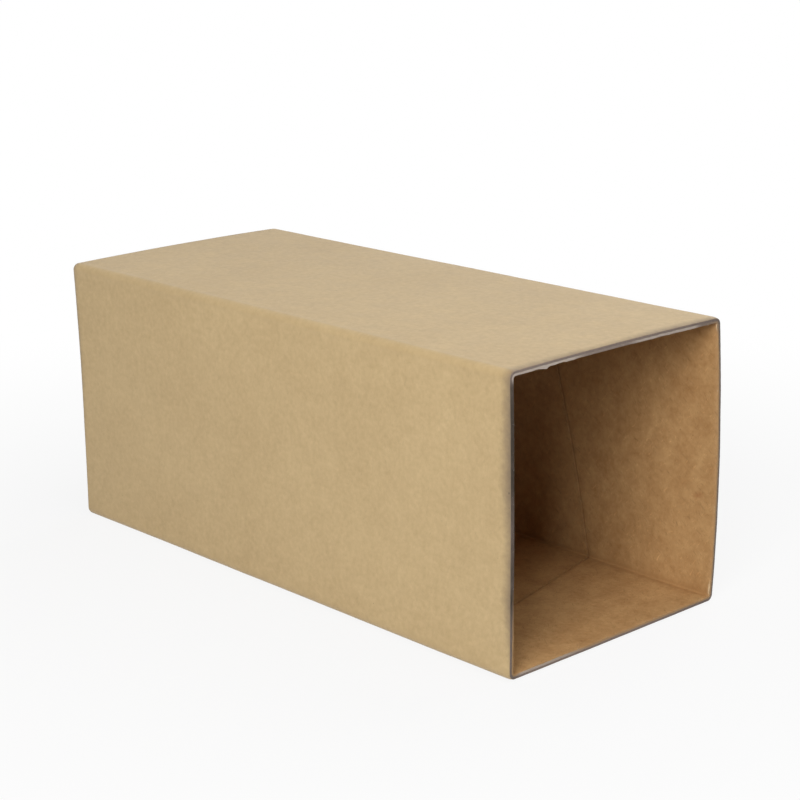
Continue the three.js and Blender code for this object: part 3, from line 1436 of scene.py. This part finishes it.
@dataclass(frozen=True)
class CutBoardFinish:
    """The wall's cut edge: grey board in plies, smeared by the blade, with a pale torn lining.

    Depths are shares of the wall, from its outer face. The lining is torn or shows brown from a depth that
    wanders, and a field that ends in edge is half the width of such a border.
    """

    name: str = "cut_board"
    core: Colour = tone(150, 134, 123)
    ply_line: Colour = tone(118, 104, 98)
    smear: Colour = tone(58, 51, 42)
    torn: Colour = tone(192, 179, 167)
    lining: Colour = tone(178, 142, 98)
    skin: Colour = tone(160, 138, 108)
    formation: Clouds = Clouds(drift=12 * MM, cloud=2.6 * MM, mottle=0.6 * MM)
    grain_swing: float = 1.6
    grain_mean: float = 0.65
    band_shade: float = 0.3
    skin_depth: tuple[float, float] = (0.03, 0.12)
    skin_shade: float = 0.6
    smear_swing: float = 0.5
    smear_depth: float = 0.24
    smear_shade: tuple[float, float] = (0.35, 0.92)
    torn_from: float = 0.60
    torn_edge: float = 0.08
    torn_shade: float = 0.95
    lined_from: float = 0.66
    lined_edge: float = 0.06
    wander: float = 0.35
    strokes: FibreLayer = FibreLayer(turn=0.0, length=1.2 * MM, width=0.14 * MM, coverage=0.4)
    stroke_relief: float = 0.7
    roughness: float = 0.88
    specular: float = 0.25
    relief: float = 0.06 * MM

    def material(self, effects: PaperEffects) -> bpy.types.Material:
        """Builds the finish.

        Args:
            effects: the shared node groups.

        Returns:
            The material.
        """
        material, nodes, shader = new_material(self.name, self.roughness, self.specular)
        depth = nodes.strength("ply_depth")
        clouds = self.formation.place(nodes, effects)
        colour = self.smeared(nodes, clouds, depth, self.board(nodes, clouds, depth))

        uneven = nodes.math("ADD", depth, nodes.swing(clouds.outputs["Cloud"], self.wander))
        torn = nodes.smooth(uneven, self.torn_from - self.torn_edge, self.torn_from + self.torn_edge)
        torn = nodes.times(nodes.times(torn, nodes.strength("torn")), self.torn_shade)
        colour = nodes.mix(torn, colour, self.torn)
        lined = nodes.smooth(uneven, self.lined_from - self.lined_edge, self.lined_from + self.lined_edge)
        colour = nodes.mix(nodes.times(lined, nodes.strength("lined")), colour, self.lining)
        nodes.feed(shader.inputs["Base Color"], colour)

        strokes = self.strokes.place(nodes, effects)
        raised = nodes.times(strokes.outputs["Relief"], self.stroke_relief)
        nodes.bump(shader, nodes.math("ADD", clouds.outputs["Mottle"], raised), 1.0, self.relief)
        return material

    def board(
        self, nodes: Nodes, clouds: bpy.types.Node, depth: bpy.types.NodeSocket
    ) -> bpy.types.NodeSocket:
        """Colours the clean board: its grain, its plies and the kraft skin outside.

        Args:
            nodes: the material's nodes.
            clouds: the node of the board's formation.
            depth: the depth under the outer face.

        Returns:
            The colour.
        """
        swing = nodes.swing(clouds.outputs["Mottle"], self.grain_swing)
        grain = nodes.math("ADD", swing, self.grain_mean, clamp=True)
        colour = nodes.mix(grain, self.ply_line, self.core)
        bands = nodes.smooth(nodes.math("SINE", nodes.times(depth, 2 * math.pi * CUT_PLIES)), -1.0, 1.0)
        colour = nodes.mix(nodes.times(bands, self.band_shade), colour, self.ply_line)
        return nodes.mix(nodes.smooth(depth, *self.skin_depth, self.skin_shade, 0.0), colour, self.skin)

    def smeared(
        self, nodes: Nodes, clouds: bpy.types.Node, depth: bpy.types.NodeSocket, colour: object
    ) -> bpy.types.NodeSocket:
        """Adds the blade's dark smear, which is thinner near the outer face.

        Args:
            nodes: the material's nodes.
            clouds: the node of the board's formation.
            depth: the depth under the outer face.
            colour: the board's colour so far.

        Returns:
            The colour.
        """
        swing = nodes.swing(clouds.outputs["Cloud"], self.smear_swing)
        smear = nodes.math("ADD", nodes.strength("smeared"), swing, clamp=True)
        covered = nodes.smooth(depth, 0.0, self.smear_depth, *self.smear_shade)
        return nodes.mix(nodes.times(smear, covered), colour, self.smear)


@dataclass(frozen=True)
class LooseFibreFinish:
    """Pale and brown paper fibres, torn out of the lining."""

    name: str = "loose_fibre"
    pale: Colour = tone(214, 204, 188)
    brown: Colour = tone(158, 132, 98)
    formation: Clouds = Clouds(drift=9 * MM, cloud=2 * MM, mottle=0.4 * MM)
    pale_step: tuple[float, float] = (0.35, 0.65)
    roughness: float = 0.9
    roughness_swing: float = 0.3
    specular: float = 0.2

    def material(self, effects: PaperEffects) -> bpy.types.Material:
        """Builds the finish.

        Args:
            effects: the shared node groups.

        Returns:
            The material.
        """
        material, nodes, shader = new_material(self.name, self.roughness, self.specular)
        clouds = self.formation.place(nodes, effects)
        share = nodes.smooth(clouds.outputs["Cloud"], *self.pale_step)
        nodes.feed(shader.inputs["Base Color"], nodes.mix(share, self.brown, self.pale))
        swing = nodes.swing(clouds.outputs["Mottle"], self.roughness_swing)
        nodes.feed(shader.inputs["Roughness"], nodes.math("ADD", swing, self.roughness, clamp=True))
        return material


OUTER_KRAFT = KraftFinish(
    name="outer_kraft",
    pale=tone(203, 177, 131),
    dark=tone(181, 154, 109),
    rim_tone=tone(122, 103, 80),
    drift=0.65,
    cloud=0.85,
    mottle=1.3,
    fleck=0.45,
    rim_shade=1.0,
    sheen=0.14,
)
INNER_KRAFT = KraftFinish(
    name="inner_kraft",
    pale=tone(197, 158, 108),
    dark=tone(160, 119, 74),
    rim_tone=tone(208, 168, 124),
    drift=0.9,
    cloud=1.1,
    mottle=0.9,
    fleck=1.0,
    rim_shade=0.8,
    ply_marks=1.0,
    # Strong painted shade in the inner folds.
    fold_wear_and_shade=0.7,
    layers=FIBRE_LAYERS + HAIR_LAYERS,
    roughness=0.78,
    specular=0.25,
)


@dataclass(frozen=True)
class Lamp:
    """A soft square lamp that faces the tube: where it hangs, its side and its power in watts."""

    name: str
    spot: tuple[float, float, float]
    size: float
    power: float

    def build(self, aim: Vector) -> None:
        """Hangs the lamp.

        Args:
            aim: the point that the lamp faces.
        """
        data = bpy.data.lights.new(self.name, "AREA")
        data.shape = "SQUARE"
        data.size = self.size
        data.energy = self.power
        lamp = bpy.data.objects.new(self.name, data)
        lamp.location = self.spot
        lamp.rotation_euler = (aim - Vector(self.spot)).to_track_quat("-Z", "Y").to_euler()
        bpy.context.scene.collection.objects.link(lamp)
        log.info("%s: %.1f W", self.name, self.power)


LAMPS = (
    Lamp("key_lamp", spot=(0.54, -0.94, 0.55), size=0.5, power=10.4),
    Lamp("top_lamp", spot=(0.5, 0.0, 1.0), size=0.6, power=3.7),
    Lamp("back_lamp", spot=(0.0, 0.6, 1.0), size=0.6, power=3.6),
    Lamp("fill_lamp", spot=(-0.4, 1.0, 0.6), size=0.8, power=0.8),
)


@dataclass
class Studio:
    """A pale floor that fades into white, a white room and soft lamps.

    The floor shows least_white under the tube, and all white from fade_to on.
    """

    floor_sides: int = 96
    floor_radius: float = 4.0
    floor_z: float = -0.04 * MM
    floor_tone: Colour = (0.72, 0.72, 0.72, 1.0)
    floor_roughness: float = 0.9
    fade_from: float = 0.10
    fade_to: float = 0.40
    least_white: float = 0.87
    room_light: float = 0.02
    lamp_aim: tuple[float, float, float] = (0.0, 0.0, 50 * MM)

    def white_ray(self, nodes: Nodes) -> bpy.types.NodeSocket:
        """Picks the rays that show the background: those of the camera, of gloss and of glass.

        Args:
            nodes: the nodes of the floor or of the room.

        Returns:
            1 for those rays and 0 for all others.
        """
        path = nodes.add("LightPath")
        seen = nodes.math("MAXIMUM", path.outputs["Is Camera Ray"], path.outputs["Is Glossy Ray"])
        return nodes.math("MAXIMUM", seen, path.outputs["Is Transmission Ray"])

    def floor(self) -> None:
        """Adds the floor, whose far part turns into plain white where the camera sees it."""
        bpy.ops.mesh.primitive_circle_add(
            vertices=self.floor_sides,
            radius=self.floor_radius,
            fill_type="NGON",
            location=(0, 0, self.floor_z),
        )
        floor = bpy.context.object
        floor.name = "floor"
        material, nodes, shader = new_material("studio_floor", self.floor_roughness, 0.0)
        shader.inputs["Base Color"].default_value = self.floor_tone
        white = nodes.add("Emission")
        distance = nodes.add("VectorMath", operation="LENGTH")
        nodes.feed(distance.inputs[0], nodes.place())
        far = nodes.smooth(distance.outputs["Value"], self.fade_from, self.fade_to, self.least_white, 1.0)
        blend = nodes.add("MixShader")
        nodes.feed(blend.inputs[0], nodes.times(far, self.white_ray(nodes)))
        nodes.feed(blend.inputs[1], shader.outputs[0])
        nodes.feed(blend.inputs[2], white.outputs[0])
        nodes.feed(material.node_tree.nodes["Material Output"].inputs["Surface"], blend.outputs[0])
        floor.data.materials.append(material)

    def room(self) -> None:
        """Sets the room's light, and the white that the camera sees."""
        world = bpy.data.worlds.new("studio_room")
        world.use_nodes = True
        bpy.context.scene.world = world
        nodes = Nodes(world.node_tree)
        shader = world.node_tree.nodes["Background"]
        shader.inputs["Color"].default_value = (1.0, 1.0, 1.0, 1.0)
        strength = nodes.add("MapRange")
        nodes.feed(strength.inputs["Value"], self.white_ray(nodes))
        strength.inputs["To Min"].default_value = self.room_light
        nodes.feed(shader.inputs["Strength"], strength.outputs["Result"])

    def build(self) -> None:
        """Builds the floor, the room and the lamps."""
        self.floor()
        self.room()
        for lamp in LAMPS:
            lamp.build(Vector(self.lamp_aim))
        bpy.context.scene.view_settings.view_transform = "Standard"


@dataclass
class PhotoCamera:
    """The photograph's viewpoint: turned from the tube's front, above it, and slightly rolled.

    Angles are in degrees. The lens and the sensor are in millimetres, as the camera takes them.
    """

    aim: tuple[float, float, float] = (0.0, 11.69 * MM, 56.37 * MM)
    distance: float = 727.59 * MM
    azimuth: float = 47.501
    elevation: float = 15.542
    roll: float = -0.824
    lens: float = 90.195
    sensor: float = 36.0
    clip_start: float = 10 * MM

    def build(self) -> None:
        """Adds the camera and makes it the scene's own."""
        turn = math.radians(self.azimuth)
        lift = math.radians(self.elevation)
        back = Vector((math.sin(turn) * math.cos(lift), -math.cos(turn) * math.cos(lift), math.sin(lift)))
        level = Vector((math.cos(turn), math.sin(turn), 0))
        upright = back.cross(level)
        tilt = math.radians(self.roll)
        right = level * math.cos(tilt) + upright * math.sin(tilt)
        up = upright * math.cos(tilt) - level * math.sin(tilt)
        data = bpy.data.cameras.new("photo_camera")
        data.lens = self.lens
        data.sensor_width = self.sensor
        data.clip_start = self.clip_start
        camera = bpy.data.objects.new("photo_camera", data)
        facing = Matrix((right, up, back)).transposed().to_4x4()
        camera.matrix_world = Matrix.Translation(Vector(self.aim) + back * self.distance) @ facing
        bpy.context.scene.collection.objects.link(camera)
        bpy.context.scene.camera = camera


def keep(piece: bpy.types.Object, materials: list[bpy.types.Material]) -> None:
    """Dresses a piece with its materials, and makes it ride on the tube's body.

    Args:
        piece: the piece.
        materials: its materials, in the order of their places on the mesh.
    """
    for material in materials:
        piece.data.materials.append(material)
    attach(piece, BODY)


def main() -> None:
    """Builds the tube, its finishes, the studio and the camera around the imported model."""
    logging.basicConfig(level=logging.INFO, format="%(message)s")
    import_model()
    low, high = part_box(TUBE_NODE)
    PhotoCamera().build()

    section = TubeSection()
    effects = PaperEffects()
    board = [finish.material(effects) for finish in (OUTER_KRAFT, CutBoardFinish(), INNER_KRAFT)]
    wall = WoundWall(section, ButtJoint(), MOUTH_CUT, REAR_CUT, low.x, high.x).build()
    keep(wall, board)
    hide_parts(TUBE_NODE)

    loose = LooseFibreFinish().material(effects)
    frays = (
        FrayedRim("mouth_fray", section, MOUTH_CUT, edge_x=high.x, seed=4),
        FrayedRim("rear_fray", section, REAR_CUT, edge_x=low.x, seed=11),
    )
    for fray in frays:
        keep(fray.build(), [loose])

    Studio().build()


if __name__ == "__main__":
    main()
